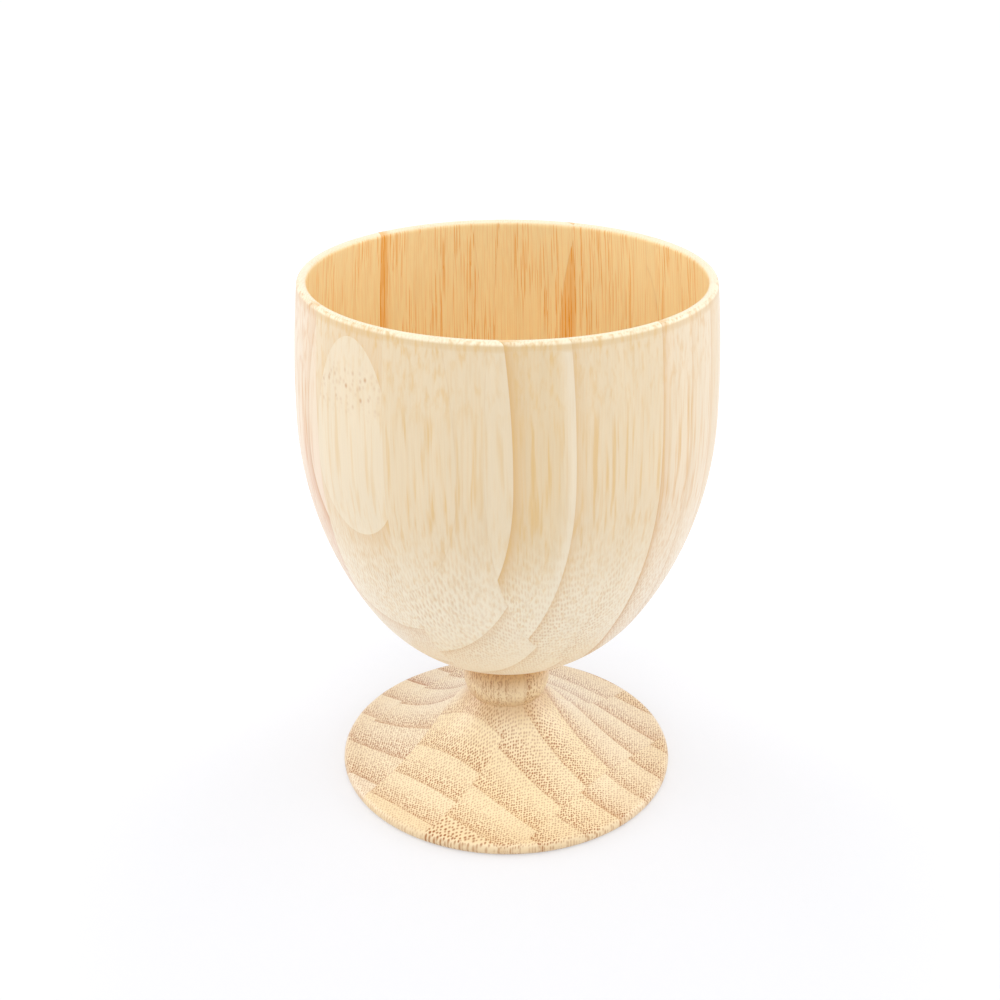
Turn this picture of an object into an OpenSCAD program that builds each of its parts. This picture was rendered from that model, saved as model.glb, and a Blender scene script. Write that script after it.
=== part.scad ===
// A footed bamboo cup (a small goblet), turned on a lathe from one glued block.
// The block is built up from upright bamboo strips: five columns side by side along X,
// and in each column a pile of strips glued flat to flat along Y. The grain of every strip
// runs up, along Z. The lathe then cuts the bowl, the collar and the foot out of the block,
// so each strip ends up with the piece of the goblet that lay inside it.
// The origin is on the table, in the middle of the foot.

/* [Bowl] */
// Outside diameter at the rim
rim_d = 73.8; // [68:0.2:80]
// How far the belly swells out beyond the rim, on the radius
belly_swell = 1.3; // [0.6:0.1:3]
// Height from the belly, the widest place, up to the middle of the rounded lip
shoulder_h = 23.9; // [18:0.1:30]
// Height from the bowl's outside bottom, on the axis, up to the belly
belly_h = 52.3; // [46:0.1:60]
// How much smaller the radius of the bowl's round bottom is than the belly's
bottom_inset = 5.8; // [3:0.1:10]
// Thickness of the wall from the belly to the lip, whose top is a half circle
wall_t = 1.8; // [1.2:0.1:3]
// Thickness of the floor, on the axis
floor_t = 5.6; // [4:0.1:9]
// How much smaller the radius of the round bottom is inside the bowl than outside
well_inset = 3.2; // [2:0.1:5]

/* [Stem] */
// Diameter of the rounded collar under the bowl
collar_d = 17.2; // [15:0.1:22]
// How far the collar swells out beyond the crease below it, on the radius
collar_swell = 1.2; // [0.6:0.1:2.5]
// Height of the collar, from the crease up to the bowl's bottom
collar_h = 8.7; // [6:0.1:12]

/* [Foot] */
// Diameter of the foot
foot_d = 66.1; // [58:0.1:74]
// Height of the foot, from the table up to the crease
foot_h = 16; // [12:0.1:22]
// Thickness of the foot's edge, which is a half circle
foot_edge_t = 2.5; // [1.8:0.1:4]
// Slope of the foot's top where it reaches the edge, in degrees
foot_edge_slope = 4; // [0:0.5:8]

/* [Bamboo strips] */
// Thickness of a strip, with its share of the glue, along Y
strip_t = 7.65; // [6.5:0.05:10]
// Width of a strip, along X
strip_w = 16.3; // [15:0.1:19]
// Thickness of the oval patch at the belly, all that the lathe left of column c's front strip
patch_t = 1.2; // [0.8:0.1:2]
// How far the patch was glued on askew: its glue line turns towards -X, in degrees
patch_turn = 2.5; // [0:0.5:4]
// How far the block stood aslant in the lathe: its columns lean towards -X, in degrees
block_lean = 1; // [0:0.1:2]

/* [Hidden] */
// The names of the columns, from left to right
column_letters = ["a", "b", "c", "d", "e"];
// Where each column starts, as a share of a strip's width from the axis
column_start_shares = [-4, -1.585, -0.595, 0.42, 1.41];
// How thick the strips of each column were planed, as a share of the usual thickness
column_thickness_shares = [1.004, 1, 0.897, 1.001, 1.018];
// The first glue line behind the axis in each column, as a share of that column's thickness
column_shift_shares = [0.51, 0.378, 0.65, 0.592, 0.336];
// The number that the strip which ends at that glue line has
axis_row = 7;
// A remnant thinner than this isn't a strip of its own: its neighbour takes it up
least_remnant = 1.4;
// How far a cutting shape runs past what it cuts
overrun = 4;
// The height above the table at which the columns' places are measured
lean_z = 8;
// How far the straight steps of a turned curve may lie from the true curve
arc_error = 0.03;

// Radius of the arc that bulges by a sagitta over half a chord
function arc_radius(half_chord, sagitta) = (half_chord * half_chord + sagitta * sagitta) / (2 * sagitta);

// Radius of the side arc that starts upright at width w and runs smoothly into a bottom arc of
// radius r, whose lowest point is on the axis, at depth d below that start
function side_radius(w, d, r) = (w * w + (d - r) * (d - r) - r * r) / (2 * (w - r));

belly_r = rim_d / 2 + belly_swell;
bottom_r = belly_r - bottom_inset;
well_w = belly_r - wall_t;
well_r = bottom_r - well_inset;
well_d = belly_h - floor_t;
bowl_z = foot_h + collar_h;
belly_z = bowl_z + belly_h;
lip_z = belly_z + shoulder_h;
goblet_h = lip_z + wall_t / 2;

shoulder_r = arc_radius(shoulder_h, belly_swell);
shoulder_x = belly_r - shoulder_r;
lip_angle = asin(shoulder_h / (shoulder_r - wall_t / 2));
lip_centre = [shoulder_x, belly_z] + (shoulder_r - wall_t / 2) * [cos(lip_angle), sin(lip_angle)];

collar_r = collar_d / 2;
collar_arc_r = arc_radius(collar_h / 2, collar_swell);
collar_flat = collar_arc_r - collar_swell;
collar_angle = asin(collar_h / 2 / collar_arc_r);
crease_r = collar_r - collar_swell;

foot_flat_r = foot_d / 2 - foot_edge_t / 2;
flare_run = foot_flat_r - crease_r;
flare_rise = foot_h - foot_edge_t;
flare_r = (flare_run * flare_run + flare_rise * flare_rise)
    / (2 * (flare_rise * cos(foot_edge_slope) - flare_run * sin(foot_edge_slope)));
flare_centre = [foot_flat_r, foot_edge_t] + flare_r * [sin(foot_edge_slope), cos(foot_edge_slope)];
crease_angle = 360 + atan2(foot_h - flare_centre[1], crease_r - flare_centre[0]);

// Where column c starts and ends along X, at lean_z; the outer columns run past the belly
function column_start(c) = column_start_shares[c] * strip_w;
function column_end(c) = c + 1 < len(column_letters) ? column_start(c + 1) : -column_start(0);
// The column's shortest way to the axis, and how far along Y the belly reaches there
function column_gap(c) = max(0, column_start(c), -column_end(c));
function column_reach(c) = sqrt(belly_r * belly_r - column_gap(c) * column_gap(c)) - least_remnant;
function column_t(c) = column_thickness_shares[c] * strip_t;
// The glue line at the back of strip k; k is 0 for the strip that ends behind the axis
function glue_line(c, k) = (column_shift_shares[c] + k) * column_t(c);
function first_strip(c) = floor(-column_reach(c) / column_t(c) - column_shift_shares[c]) + 1;
function last_strip(c) = ceil(column_reach(c) / column_t(c) - column_shift_shares[c]);
function two_digits(n) = n < 10 ? str("0", n) : str(n);
function strip_name(c, k) = str("strip_", column_letters[c], two_digits(k + axis_row));

columns = [0 : len(column_letters) - 1];

// Points along an arc round a centre [x, z], with no chord further from it than arc_error
function arc(centre, r, from, to) =
    let (steps = max(2, ceil(abs(to - from) / (2 * acos(1 - arc_error / r)))))
    [for (i = [0 : steps])
        let (a = from + (to - from) * i / steps)
        centre + r * [cos(a), sin(a)]];

function but_last(points) = [for (i = [0 : len(points) - 2]) points[i]];
function backwards(points) = [for (i = [len(points) - 1 : -1 : 0]) points[i]];

// A vessel's side, from its lowest point on the axis, at height z, up to its widest place
function vessel_side(z, w, d, r) =
    let (s = side_radius(w, d, r), seam = atan2(r - d, s - w))
    concat(
        but_last(arc([0, z + r], r, -90, seam)),
        arc([w - s, z + d], s, seam, 0)
    );

// The section of the bowl, from the outside bottom round the lip to the inside bottom
bowl_outline = concat(
    but_last(vessel_side(bowl_z, belly_r, belly_h, bottom_r)),
    but_last(arc([shoulder_x, belly_z], shoulder_r, 0, lip_angle)),
    but_last(arc(lip_centre, wall_t / 2, lip_angle, lip_angle + 180)),
    but_last(arc([shoulder_x, belly_z], shoulder_r - wall_t, lip_angle, 0)),
    backwards(vessel_side(bowl_z + floor_t, well_w, well_d, well_r))
);

// The section of the collar and the foot; it ends inside the bowl's floor
stem_outline = concat(
    [[0, 0]],
    but_last(arc([foot_flat_r, foot_edge_t / 2], foot_edge_t / 2, -90, 90)),
    but_last(arc(flare_centre, flare_r, 270 - foot_edge_slope, crease_angle)),
    arc([crease_r - collar_flat, foot_h + collar_h / 2], collar_arc_r, -collar_angle, collar_angle),
    [[crease_r, bowl_z + floor_t / 2], [0, bowl_z + floor_t / 2]]
);

// The turned shape, as if the block were one piece
module goblet() {
    rotate_extrude($fn = 360) {
        polygon(bowl_outline);
        polygon(stem_outline);
    }
}

// The part of column c between two places along Y, as deep and as high as the block
module column_part(c, y0, y1) {
    side = belly_r + overrun;
    x0 = max(column_start(c), -side);
    x1 = min(column_end(c), side);
    translate([x0, y0, -overrun]) cube([x1 - x0, y1 - y0, goblet_h + 2 * overrun]);
}

// All that lies in front of the glue line behind the oval patch
module patch_front() {
    side = belly_r + overrun;
    rotate([0, 0, -patch_turn])
        translate([-side, -side, -2 * overrun]) cube([2 * side, overrun + patch_t, goblet_h + 4 * overrun]);
}

// One strip of the block before turning; column c's front strip is the patch
module sawn_strip(c, k) {
    side = belly_r + overrun;
    first = first_strip(c);
    y1 = k == last_strip(c) ? side : glue_line(c, k);
    translate([0, 0, lean_z]) rotate([0, -block_lean, 0]) translate([0, 0, -lean_z])
        if (c == 2 && k == first)
            intersection() {
                column_part(c, -side, 0);
                patch_front();
            }
        else if (c == 2 && k == first + 1)
            difference() {
                column_part(c, -side, y1);
                patch_front();
            }
        else
            column_part(c, k == first ? -side : glue_line(c, k - 1), y1);
}

// What the lathe leaves of one strip: a piece of the wall, of the foot or of both
module strip(c, k) {
    color(k % 2 == 0 ? "wheat" : "burlywood")
    intersection() {
        goblet();
        sawn_strip(c, k);
    }
}

for (c = columns)
    for (k = [first_strip(c) : last_strip(c)])
        strip(c, k);
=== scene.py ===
# %% [markdown]
# A small footed cup of laminated bamboo: a deep bowl, a short round collar and a flared foot,
# turned on a lathe from one block. The block is glued up from upright strips, so the finished
# cup is still an assembly of strips, each with its own tone and its own fibres. The frame is the
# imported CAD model, with one node for every strip. It is loaded first, because every piece made
# below takes its place from it.

# %% Load the frame
import math
import bpy
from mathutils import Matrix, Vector


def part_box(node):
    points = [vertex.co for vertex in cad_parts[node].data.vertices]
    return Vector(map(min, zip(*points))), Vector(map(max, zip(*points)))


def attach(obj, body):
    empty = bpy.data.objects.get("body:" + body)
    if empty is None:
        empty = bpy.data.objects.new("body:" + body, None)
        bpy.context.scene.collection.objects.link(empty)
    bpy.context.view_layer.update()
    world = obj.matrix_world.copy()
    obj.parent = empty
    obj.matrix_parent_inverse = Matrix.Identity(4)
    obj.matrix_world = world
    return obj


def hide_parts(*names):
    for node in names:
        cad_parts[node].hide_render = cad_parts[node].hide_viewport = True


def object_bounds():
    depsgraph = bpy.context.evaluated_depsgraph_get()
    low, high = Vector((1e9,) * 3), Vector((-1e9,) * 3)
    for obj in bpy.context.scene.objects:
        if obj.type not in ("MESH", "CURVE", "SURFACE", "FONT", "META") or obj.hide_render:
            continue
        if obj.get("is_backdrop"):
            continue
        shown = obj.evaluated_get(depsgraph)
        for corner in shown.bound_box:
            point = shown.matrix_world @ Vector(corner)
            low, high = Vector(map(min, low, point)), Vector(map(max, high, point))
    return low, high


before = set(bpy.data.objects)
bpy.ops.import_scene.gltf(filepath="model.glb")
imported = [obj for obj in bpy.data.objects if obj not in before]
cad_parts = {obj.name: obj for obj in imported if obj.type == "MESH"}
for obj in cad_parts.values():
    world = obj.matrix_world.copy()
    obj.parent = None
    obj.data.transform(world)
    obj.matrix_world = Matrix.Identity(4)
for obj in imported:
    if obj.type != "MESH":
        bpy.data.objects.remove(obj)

MM = 0.001
cad_low, cad_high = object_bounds()
strips = sorted(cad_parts)
print("strips in the frame:", len(strips))

# %% [markdown]
# The photograph was taken from a little above, with the piles of strips turned aside. The camera
# is placed by four real measures: how far it stands back from the cup's axis, how high it is, how
# far it looks down and how far round the cup it stands. The cup stands slightly right of the
# picture's middle, so the camera stands that little bit to the left. There is no lens shift,
# which would only disturb other views.

# %% Place the camera
CAMERA_BACK = 248.0 * MM
CAMERA_HEIGHT = 175.9 * MM
CAMERA_LEFT = 1.29 * MM
CAMERA_ROUND = math.radians(40.42)
CAMERA_DOWN = math.radians(25.52)
LENS_MM = 52.45
SENSOR_MM = 36.0


def make_camera():
    """The camera at the photograph's place, looking level across the cup and then down."""
    away = Vector((-math.sin(CAMERA_ROUND), math.cos(CAMERA_ROUND), 0))
    right = Vector((math.cos(CAMERA_ROUND), math.sin(CAMERA_ROUND), 0))
    data = bpy.data.cameras.new("camera")
    data.lens = LENS_MM
    data.sensor_width = SENSOR_MM
    data.clip_start = 10 * MM
    camera = bpy.data.objects.new("camera", data)
    camera.location = -CAMERA_BACK * away - CAMERA_LEFT * right + Vector((0, 0, CAMERA_HEIGHT))
    camera.rotation_euler = (math.pi / 2 - CAMERA_DOWN, 0, CAMERA_ROUND)
    bpy.context.scene.collection.objects.link(camera)
    bpy.context.scene.camera = camera
    return camera


camera = make_camera()
print("camera at", [round(v, 4) for v in camera.location])

# %% [markdown]
# Both kinds of node tree used here, those that make meshes and those that colour them, are built
# in code. A few helpers keep that readable: one adds a node, one feeds a socket with either a
# number or another socket, and the rest wrap the small sums that the trees are full of.

# %% Helpers for node trees
def feed(tree, socket, value):
    """Links value to the socket if it is another socket, and otherwise sets it."""
    if isinstance(value, bpy.types.NodeSocket):
        tree.links.new(value, socket)
    elif value is not None:
        socket.default_value = value


def add(tree, kind, settings=(), **inputs):
    """A new node with its settings, and its inputs fed by name, with _ for a space."""
    node = tree.nodes.new(kind)
    for name, value in dict(settings).items():
        setattr(node, name, value)
    for name, value in inputs.items():
        feed(tree, node.inputs[name.replace("_", " ")], value)
    return node


def maths(tree, operation, *values):
    """The result of one Math node."""
    node = add(tree, "ShaderNodeMath", {"operation": operation})
    for socket, value in zip(node.inputs, values):
        feed(tree, socket, value)
    return node.outputs[0]


def times(tree, product, *factors):
    """The product of all the values."""
    for factor in factors:
        product = maths(tree, "MULTIPLY", product, factor)
    return product


def times_add(tree, value, factor, start):
    """The value times the factor, plus the start."""
    return maths(tree, "MULTIPLY_ADD", value, factor, start)


def inverse(tree, value):
    """1 less the value."""
    return maths(tree, "SUBTRACT", 1.0, value)


def apart(tree, a, b):
    """How far two numbers are from each other."""
    return maths(tree, "ABSOLUTE", maths(tree, "SUBTRACT", a, b))


def vector_maths(tree, operation, *values, output="Vector"):
    """The result of one Vector Math node, which is a vector or a value."""
    node = add(tree, "ShaderNodeVectorMath", {"operation": operation})
    for socket, value in zip(node.inputs, values):
        feed(tree, socket, value)
    return node.outputs[output]


def scaled(tree, vector, factor):
    """A vector made longer or shorter."""
    settings = {"operation": "SCALE"}
    return add(tree, "ShaderNodeVectorMath", settings, Vector=vector, Scale=factor).outputs[0]


def split(tree, vector):
    """The three coordinates of a vector."""
    return add(tree, "ShaderNodeSeparateXYZ", Vector=vector).outputs


def combine(tree, x, y, z):
    """A vector from its three coordinates."""
    return add(tree, "ShaderNodeCombineXYZ", X=x, Y=y, Z=z).outputs[0]


def new_tree(name, kind, inputs, outputs):
    """An empty node group with named sockets, and its input and output nodes."""
    tree = bpy.data.node_groups.new(name, kind)
    for label, (socket_kind, default) in inputs.items():
        socket = tree.interface.new_socket(label, in_out="INPUT", socket_type=socket_kind)
        if default is not None:
            socket.default_value = default
    for label, socket_kind in outputs.items():
        tree.interface.new_socket(label, in_out="OUTPUT", socket_type=socket_kind)
    return tree, tree.nodes.new("NodeGroupInput").outputs, tree.nodes.new("NodeGroupOutput")


# %% [markdown]
# The turned shape is one outline spun round the axis. It is drawn here from the same few measures
# as the real cup: straight lengths and arcs, from the middle of the underside, round the foot's
# edge, up the flare and the collar, round the bowl and over the lip, and back down inside to the
# middle of the floor. The steps of an arc are so short that no corner shows.

# %% Draw the outline
RIM_D, BELLY_SWELL, SHOULDER_H, BELLY_H = 73.8, 1.3, 23.9, 52.3
BOTTOM_INSET, WALL_T, FLOOR_T, WELL_INSET = 5.8, 1.8, 5.6, 3.2
COLLAR_D, COLLAR_SWELL, COLLAR_H = 17.2, 1.2, 8.7
FOOT_D, FOOT_H, FOOT_EDGE_T, FOOT_EDGE_SLOPE = 66.1, 16.0, 2.5, math.radians(4)
ARC_STEP = 0.6
LEAST_STEPS = 10


def arc(centre_x, centre_z, r, start, end):
    """Points in mm along an arc from one angle to another, both ends included."""
    steps = max(LEAST_STEPS, math.ceil(abs(end - start) * r / ARC_STEP))
    angles = [start + (end - start) * i / steps for i in range(steps + 1)]
    return [(centre_x + r * math.cos(a), centre_z + r * math.sin(a)) for a in angles]


def vessel_side(z, w, d, r, start):
    """The bottom arc of radius r from the angle start, and the side arc up to the width w."""
    side_r = (w * w + (d - r) ** 2 - r * r) / (2 * (w - r))
    seam = math.atan2(r - d, side_r - w)
    return arc(0, z + r, r, start, seam)[:-1] + arc(w - side_r, z + d, side_r, seam, 0)


def foot_outline():
    """The underside, the foot's rounded edge and its flare, up to the crease."""
    crease_r = COLLAR_D / 2 - COLLAR_SWELL
    flat_r = FOOT_D / 2 - FOOT_EDGE_T / 2
    run, rise = flat_r - crease_r, FOOT_H - FOOT_EDGE_T
    slope = FOOT_EDGE_SLOPE
    r = (run * run + rise * rise) / (2 * (rise * math.cos(slope) - run * math.sin(slope)))
    x, z = flat_r + r * math.sin(slope), FOOT_EDGE_T + r * math.cos(slope)
    crease = 2 * math.pi + math.atan2(FOOT_H - z, crease_r - x)
    edge = arc(flat_r, FOOT_EDGE_T / 2, FOOT_EDGE_T / 2, -math.pi / 2, math.pi / 2)
    return [(0, 0)] + edge[:-1] + arc(x, z, r, 1.5 * math.pi - slope, crease)


def collar_outline():
    """The rounded collar, from the crease up to the bowl's bottom."""
    half = COLLAR_H / 2
    r = (half * half + COLLAR_SWELL ** 2) / (2 * COLLAR_SWELL)
    reach = math.asin(half / r)
    return arc(COLLAR_D / 2 - r, FOOT_H + half, r, -reach, reach)


def bowl_outline():
    """The bowl, from where its outside meets the collar to the middle of the floor inside."""
    belly_r = RIM_D / 2 + BELLY_SWELL
    bottom_r = belly_r - BOTTOM_INSET
    bowl_z = FOOT_H + COLLAR_H
    shoulder_r = (SHOULDER_H ** 2 + BELLY_SWELL ** 2) / (2 * BELLY_SWELL)
    middle_r = shoulder_r - WALL_T / 2
    lip = math.asin(SHOULDER_H / middle_r)
    x, z = belly_r - shoulder_r, bowl_z + BELLY_H
    lip_x, lip_z = x + middle_r * math.cos(lip), z + middle_r * math.sin(lip)
    joint = -math.acos((COLLAR_D / 2 - COLLAR_SWELL) / bottom_r)
    outside = vessel_side(bowl_z, belly_r, BELLY_H, bottom_r, joint)
    shoulder = arc(x, z, shoulder_r, 0, lip)
    top = arc(lip_x, lip_z, WALL_T / 2, lip, lip + math.pi)
    inner_shoulder = arc(x, z, shoulder_r - WALL_T, lip, 0)
    well_r = bottom_r - WELL_INSET
    floor_z, deep = bowl_z + FLOOR_T, BELLY_H - FLOOR_T
    inside = vessel_side(floor_z, belly_r - WALL_T, deep, well_r, -math.pi / 2)
    return outside[:-1] + shoulder[:-1] + top[:-1] + inner_shoulder[:-1] + inside[::-1]


outline = foot_outline()[:-1] + collar_outline() + bowl_outline()
print("points of the outline:", len(outline))

# %% [markdown]
# Spinning the outline is a rule, so Geometry Nodes follow it: a flat grid with one row for each
# point of the outline is wrapped round the axis, and the seam and the two poles are merged. The
# mesh must be closed, because it is about to be sawn up.

# %% Turn the block
STEPS_ROUND = 480
MERGE = 0.001 * MM


def lathe_tree():
    """Wraps the outline, which comes in as a row of points in the XZ plane, round the Z axis."""
    tree, given, made = new_tree(
        "lathe", "GeometryNodeTree",
        {"Outline": ("NodeSocketGeometry", None), "Steps round": ("NodeSocketInt", STEPS_ROUND)},
        {"Turned": "NodeSocketGeometry"},
    )
    size = add(tree, "GeometryNodeAttributeDomainSize", Geometry=given["Outline"])
    count = size.outputs["Point Count"]
    columns = maths(tree, "ADD", given["Steps round"], 1)
    grid = add(tree, "GeometryNodeMeshGrid", Vertices_X=columns, Vertices_Y=count).outputs["Mesh"]
    index = add(tree, "GeometryNodeInputIndex").outputs[0]
    row = maths(tree, "MODULO", index, count)
    step = maths(tree, "FLOOR", maths(tree, "DIVIDE", index, count))
    angle = times(tree, maths(tree, "DIVIDE", step, given["Steps round"]), math.tau)
    point = add(
        tree, "GeometryNodeSampleIndex", {"data_type": "FLOAT_VECTOR"},
        Geometry=given["Outline"], Value=add(tree, "GeometryNodeInputPosition").outputs[0], Index=row,
    ).outputs[0]
    radius, _, height = split(tree, point)
    x = times(tree, radius, maths(tree, "COSINE", angle))
    y = times(tree, radius, maths(tree, "SINE", angle))
    wrapped = add(tree, "GeometryNodeSetPosition", Geometry=grid, Position=combine(tree, x, y, height))
    merged = add(tree, "GeometryNodeMergeByDistance", Geometry=wrapped.outputs[0], Distance=MERGE)
    feed(tree, made.inputs["Turned"], merged.outputs[0])
    return tree


def link(name, mesh):
    """A new object for the mesh, at the origin."""
    piece = bpy.data.objects.new(name, mesh)
    bpy.context.scene.collection.objects.link(piece)
    return piece


def shape_with(piece, tree, values):
    """Runs a Geometry Nodes tree on the piece and keeps the result as its plain mesh."""
    modifier = piece.modifiers.new("shape", "NODES")
    modifier.node_group = tree
    sockets = {s.name: s.identifier for s in tree.interface.items_tree if s.in_out == "INPUT"}
    for name, value in values.items():
        modifier[sockets[name]] = value
    depsgraph = bpy.context.evaluated_depsgraph_get()
    mesh = bpy.data.meshes.new_from_object(piece.evaluated_get(depsgraph))
    piece.modifiers.remove(modifier)
    piece.data = mesh
    mesh.name = piece.name
    return piece


def turned_block():
    """The whole cup as one closed mesh, which the strips are cut out of."""
    mesh = bpy.data.meshes.new("outline")
    points = [(x * MM, 0, z * MM) for x, z in outline]
    mesh.from_pydata(points, [(i, i + 1) for i in range(len(points) - 1)], [])
    return shape_with(link("turned_block", mesh), lathe_tree(), {"Steps round": STEPS_ROUND})


block = turned_block()
print("faces of the turned block:", len(block.data.polygons))

# %% [markdown]
# Each strip is what the lathe left inside one tall box of the glue-up. Along X the boxes come from
# the width of the strips, and along Y from the frame: the glue line behind a strip is the back of
# its node. The outermost strips run out past the turned surface. One strip was glued on a little
# askew: the oval patch at the front of the bowl is all that the lathe left of it. This patch and
# the strip behind it get boxes that overlap, because a turned glue line is cut between them later.

# %% Find each strip's box
OVERRUN = 4 * MM
STRIP_W = 16.3 * MM
COLUMN_STARTS = {"a": -2.585, "b": -1.585, "c": -0.595, "d": 0.42, "e": 1.41}
COLUMN_ENDS = {"a": -1.585, "b": -0.595, "c": 0.42, "d": 1.41, "e": 2.6}
BLOCK_LEAN = math.radians(1)
LEAN_Z = 8 * MM
PATCH, BEHIND_PATCH = "strip_c01", "strip_c02"
PATCH_T = 1.2 * MM
PATCH_TURN = math.radians(2.5)
AXIS_Y = 0.0
MIDDLE_ROW = "07"
columns = sorted(COLUMN_STARTS)


def strip_boxes(letter):
    """For each strip of a column: the whole strip's box, and the box to cut with."""
    left, right = COLUMN_STARTS[letter] * STRIP_W, COLUMN_ENDS[letter] * STRIP_W
    names = [name for name in strips if name[-3] == letter]
    middle_low, middle_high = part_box(f"strip_{letter}{MIDDLE_ROW}")
    pitch = middle_high.y - middle_low.y
    boxes = {}
    for name in names:
        low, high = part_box(name)
        first, last = name == names[0], name == names[-1]
        whole = (left, right, high.y - pitch if first else low.y, low.y + pitch if last else high.y)
        cut = (
            cad_low.x - OVERRUN if letter == columns[0] else left,
            cad_high.x + OVERRUN if letter == columns[-1] else right,
            cad_low.y - OVERRUN if first else whole[2],
            cad_high.y + OVERRUN if last else whole[3],
        )
        boxes[name] = (whole, cut)
    return boxes


all_boxes = {}
for letter in columns:
    all_boxes.update(strip_boxes(letter))
patch_whole, (patch_left, patch_right, patch_front, _) = all_boxes[PATCH]
behind_whole, (behind_left, behind_right, _, behind_back) = all_boxes[BEHIND_PATCH]
all_boxes[PATCH] = (patch_whole, (patch_left, patch_right, patch_front, AXIS_Y))
all_boxes[BEHIND_PATCH] = (behind_whole, (behind_left, behind_right, patch_front, behind_back))
print("boxes found:", len(all_boxes))

# %% [markdown]
# No two strips of bamboo look alike. The outer columns of this cup came from redder stock, and a
# few strips stand out in the photograph. The numbers below say, for each strip, how pink and how
# golden it is, how strongly its fibres show along the grain and, as dots, on cut ends, and how
# dark the dense skin side of the strip is. They start from the column's own values, change a
# little from strip to strip by a fixed rule, and are then set one by one where the photograph shows
# something special, such as the specks of a knot on the oval patch.

# %% Give each strip its character
PINK = {"a": 0.6, "b": 0.5, "c": 0.08, "d": 0.1, "e": 0.2}
GOLDEN = {"a": 0.2, "b": 0.2, "c": 0.4, "d": 0.7, "e": 0.6}
FIBRE = {"a": 0.5, "b": 0.5, "c": 0.5, "d": 0.5, "e": 0.5}
DOTS = {"a": 0.5, "b": 0.7, "c": 0.6, "d": 0.6, "e": 0.65}
SKIN = {"a": 0.6, "b": 0.5, "c": 0.35, "d": 0.35, "e": 0.5}
SPREAD = 0.12
GOLDEN_TURN, SALT_STEP = 0.618034, 0.37
SPECIAL = {
    "strip_a08": {"skin": 1.0, "pink": 0.9},
    "strip_b02": {"pink": 0.8, "skin": 0.6},
    "strip_b03": {"pink": 0.9, "skin": 1.0, "fibre": 1.0},
    "strip_b12": {"skin": 0.9, "fibre": 0.9},
    "strip_c01": {"pink": 0.0, "golden": 0.35, "fibre": 0.35, "skin": 0.0, "specks": 0.9},
    "strip_c02": {"golden": 0.4, "skin": 0.45, "fibre": 0.8},
    "strip_c09": {"pink": 0.5},
    "strip_c10": {"pink": 0.6},
    "strip_c11": {"pink": 0.7},
    "strip_d02": {"pink": 0.05, "golden": 0.6, "skin": 0.0, "fibre": 0.8},
    "strip_d03": {"pink": 0.05, "golden": 0.6, "skin": 0.0, "fibre": 0.6, "dots": 1.0},
    "strip_d08": {"pink": 0.5, "skin": 0.6},
    "strip_d09": {"pink": 0.5, "skin": 0.6},
    "strip_d10": {"pink": 0.6, "skin": 0.7},
    "strip_e03": {"pink": 0.0, "golden": 0.5, "fibre": 0.35, "skin": 0.0},
    "strip_e04": {"pink": 0.0, "golden": 0.8, "skin": 0.9, "fibre": 0.8},
    "strip_e05": {"pink": 0.05, "golden": 0.6, "skin": 0.5, "fibre": 0.7},
    "strip_e06": {"pink": 0.05, "golden": 0.6, "skin": 0.0, "fibre": 0.6},
    "strip_e07": {"pink": 0.3, "golden": 0.4, "skin": 0.9, "fibre": 0.8},
    "strip_e08": {"pink": 0.3, "golden": 0.4, "skin": 0.4, "fibre": 0.7},
}


def luck(number, salt):
    """A number from -1 to 1 that looks random and is the same in each run."""
    return 2 * ((number * GOLDEN_TURN * (salt + 1) + SALT_STEP * salt) % 1) - 1


def character(name):
    """The strip's own numbers for the finish."""
    number, letter = strips.index(name) + 1, name[-3]
    values = {
        "pink": PINK[letter] + SPREAD * luck(number, 0),
        "golden": GOLDEN[letter] + 2 * SPREAD * luck(number, 3),
        "fibre": FIBRE[letter] + SPREAD * luck(number, 1),
        "dots": DOTS[letter] + SPREAD * luck(number, 1),
        "skin": SKIN[letter] + SPREAD * luck(number, 2),
        "lean": luck(number, 4),
        "specks": 0.0,
    }
    values.update(SPECIAL.get(name, {}))
    return values


print("a strip's numbers:", {key: round(value, 2) for key, value in character("strip_c07").items()})

# %% [markdown]
# The block stood one degree aslant in the lathe, so its columns lean a little to the left as they
# rise. Every box that cuts is therefore leaned by the same angle, and its faces are marked with an
# attribute, which survives the cut and tells sawn faces from turned ones. A short tree of its own
# cuts the block in two along the turned glue line of the oval patch.

# %% Lean a box as the block leaned
def leaning_box(tree, low, high, turn=0.0):
    """A leaning box between two corners, turned round Z, with its faces marked as sawn."""
    size = vector_maths(tree, "SUBTRACT", high, low)
    middle = vector_maths(tree, "ADD", low, scaled(tree, size, 0.5))
    box = add(tree, "GeometryNodeMeshCube", Size=size).outputs["Mesh"]
    box = add(tree, "GeometryNodeTransform", Geometry=box, Translation=middle).outputs[0]
    box = add(tree, "GeometryNodeTransform", Geometry=box, Translation=(0, 0, -LEAN_Z),
              Rotation=combine(tree, 0.0, 0.0, times(tree, turn, -1.0))).outputs[0]
    box = add(tree, "GeometryNodeTransform", Geometry=box, Rotation=(0, -BLOCK_LEAN, 0),
              Translation=(0, 0, LEAN_Z)).outputs[0]
    return add(tree, "GeometryNodeStoreNamedAttribute", {"domain": "FACE", "data_type": "FLOAT"},
               Geometry=box, Name="sawn", Value=1.0).outputs[0]


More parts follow.
